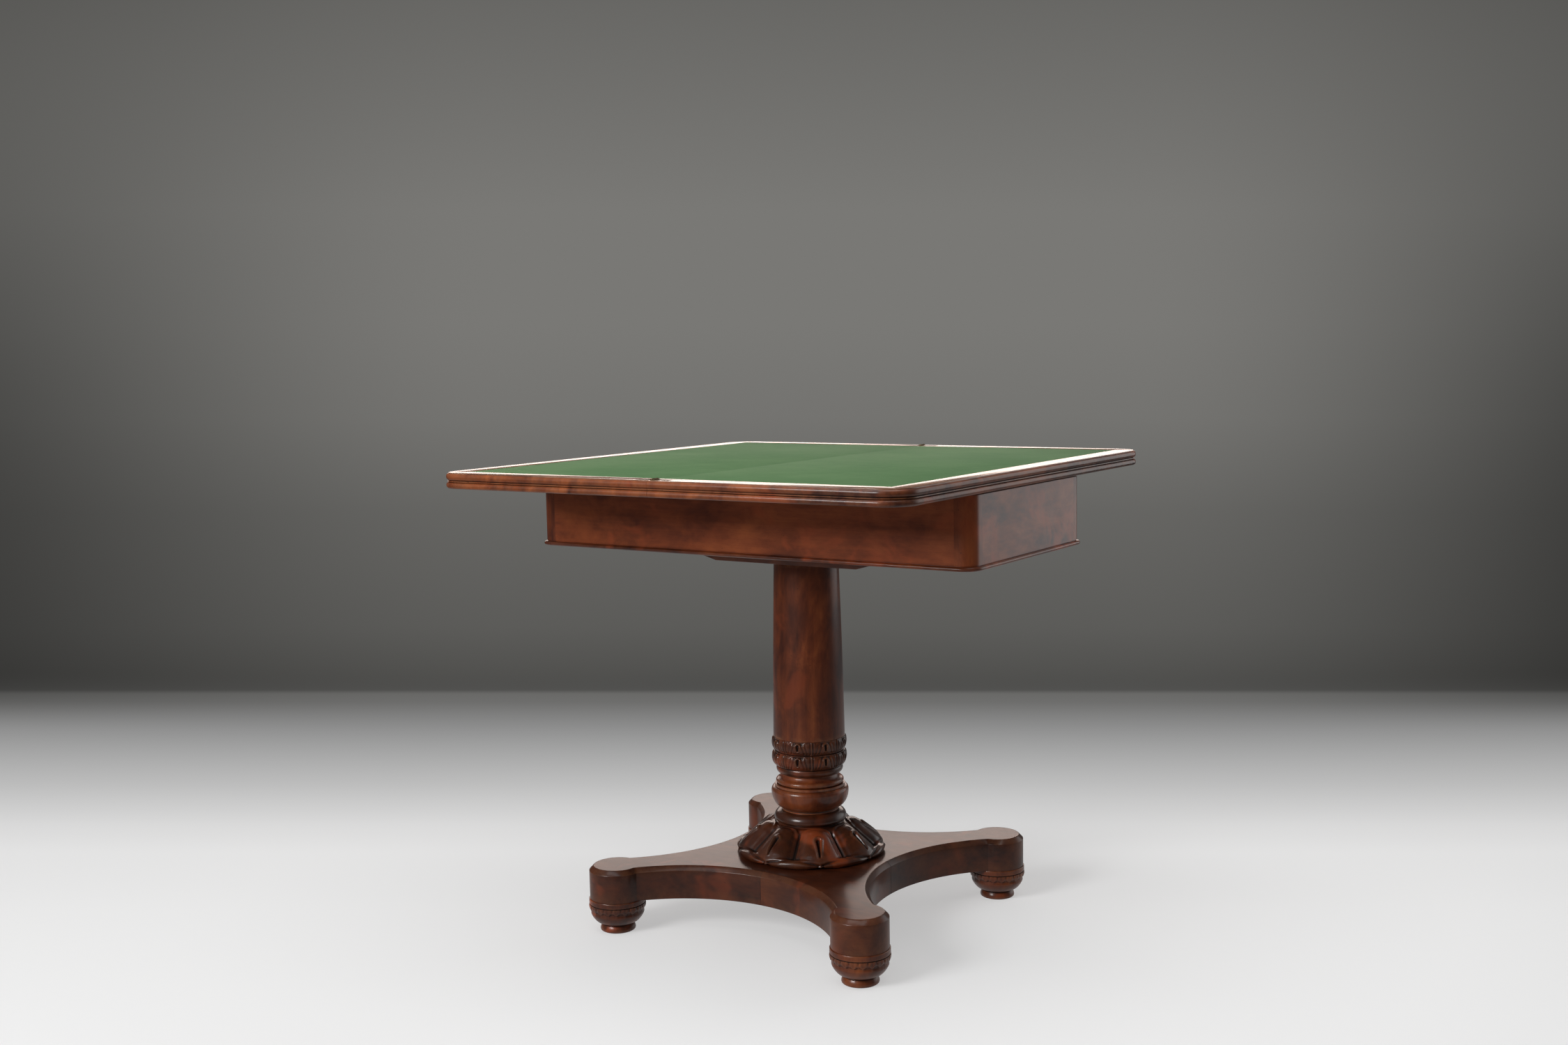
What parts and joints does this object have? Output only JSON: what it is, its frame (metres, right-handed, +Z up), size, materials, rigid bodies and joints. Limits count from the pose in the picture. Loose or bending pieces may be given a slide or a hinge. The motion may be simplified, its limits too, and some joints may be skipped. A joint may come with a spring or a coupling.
{
  "type": "folding card table",
  "caption": "Folding card table whose two-leaf moulded top turns and folds over a storage well, on a turned column with carved collars and a shaped platform base on bun feet.",
  "frame": {"origin": "on the floor, on the column's axis", "axes": "+X along the frieze's long side, to the right as the front is seen; +Y to the back, along the seam of the open top; +Z up"},
  "size_m": [0.828, 0.832, 0.7523],
  "materials": {
    "mahogany": "french polished, worn, with dark figure",
    "banding": "french polished, worn, straight figure",
    "secondary_wood": "unpolished",
    "glide_wood": "waxed",
    "baize": "felted wool, faded",
    "brass": "aged",
    "iron": "dark, oiled"
  },
  "bodies": {
    "stand": {"foot_front_right": "mahogany", "foot_back_right": "mahogany", "foot_back_left": "mahogany", "foot_front_left": "mahogany", "platform_front_right": "mahogany", "platform_back_right": "mahogany", "platform_back_left": "mahogany", "platform_front_left": "mahogany", "platform_splines": "secondary_wood", "carved_dome": "mahogany", "ovolo_ring": "mahogany", "turned_baluster": "mahogany", "carved_collar": "mahogany", "column_shaft": "mahogany", "tenon_wedges": "secondary_wood", "bearer_block": "mahogany", "bearer_screws": "iron", "well_middle_board": "secondary_wood", "well_left_board": "secondary_wood", "well_right_board": "secondary_wood", "glue_blocks": "secondary_wood", "frieze_front": "mahogany", "frieze_back": "mahogany", "frieze_left": "mahogany", "frieze_right": "mahogany", "post_front_right": "mahogany", "post_back_right": "mahogany", "post_back_left": "mahogany", "post_front_left": "mahogany", "bead_front": "mahogany", "bead_back": "mahogany", "bead_left": "mahogany", "bead_right": "mahogany", "bead_corners": "mahogany", "glide_strips": "glide_wood", "pivot_rail": "secondary_wood", "wear_washer": "brass"},
    "lower_top": {"lower_leaf_board": "mahogany", "lower_leaf_banding": "banding", "lower_leaf_cloth": "baize", "lower_hinge_plates": "brass", "lower_hinge_screws": "brass", "pivot_plate": "iron", "pivot_plate_screws": "iron", "stop_pin": "iron", "pivot_washer": "iron", "pivot_nut": "iron", "hinge_pins": "brass"},
    "upper_top": {"upper_leaf_board": "mahogany", "upper_leaf_banding": "banding", "upper_leaf_cloth": "baize", "upper_hinge_plates": "brass", "upper_hinge_screws": "brass"}
  },
  "joints": [
    {"name": "top_swivel", "type": "hinge", "parent": "stand", "child": "lower_top", "pos_m": [0.1035, 0.1035, 0.7225], "axis": [0, 0, -1], "range_deg": [0, 90]},
    {"name": "leaf_fold", "type": "hinge", "parent": "lower_top", "child": "upper_top", "pos_m": [0, 0, 0.75015], "axis": [0, 1, 0], "range_deg": [0, 180]}
  ]
}
